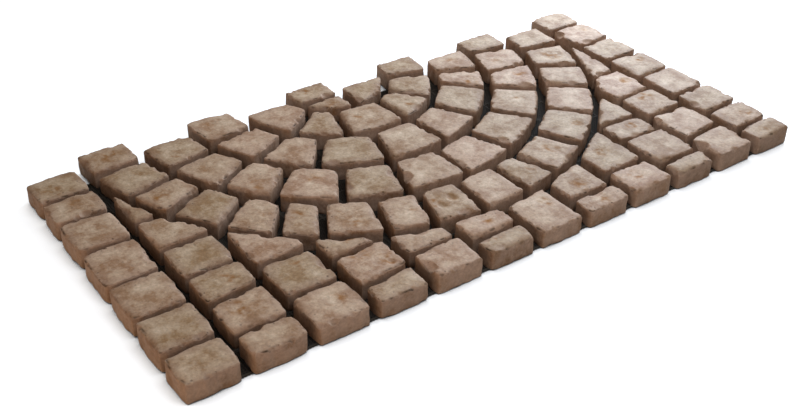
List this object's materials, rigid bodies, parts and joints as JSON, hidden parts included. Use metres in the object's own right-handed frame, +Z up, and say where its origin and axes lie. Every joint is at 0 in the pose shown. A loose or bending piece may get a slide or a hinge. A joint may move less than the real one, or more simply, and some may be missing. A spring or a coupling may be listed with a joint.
{
  "type": "half circle cobble mat",
  "caption": "Paving mat of cast concrete cobbles: straight courses around a half-circle fan of rings, on a mesh backing, with a toothed back edge that locks into a second mat.",
  "frame": {"origin": "centre of the underside of the mat, on the surface it lies on", "axes": "+X along the straight front edge, +Y from the front edge to the toothed back edge, +Z up"},
  "size_m": [1.187, 0.607, 0.0375],
  "materials": {
    "cobble": "wet-cast concrete tinted brown, riven top faces with broken edges",
    "mesh": "black extruded polypropylene grid"
  },
  "bodies": {
    "root": {"file_01_cobbles": "cobble", "file_02_cobbles": "cobble", "file_03_cobbles": "cobble", "file_04_cobbles": "cobble", "file_05_cobbles": "cobble", "file_06_cobbles": "cobble", "file_07_cobbles": "cobble", "file_08_cobbles": "cobble", "file_09_cobbles": "cobble", "file_10_cobbles": "cobble", "file_11_cobbles": "cobble", "file_12_cobbles": "cobble", "fan_hub_cobbles": "cobble", "fan_ring_1_cobbles": "cobble", "fan_ring_2_cobbles": "cobble", "fan_ring_3_cobbles": "cobble", "fan_ring_4_cobbles": "cobble", "backing_mesh": "mesh"}
  },
  "joints": []
}
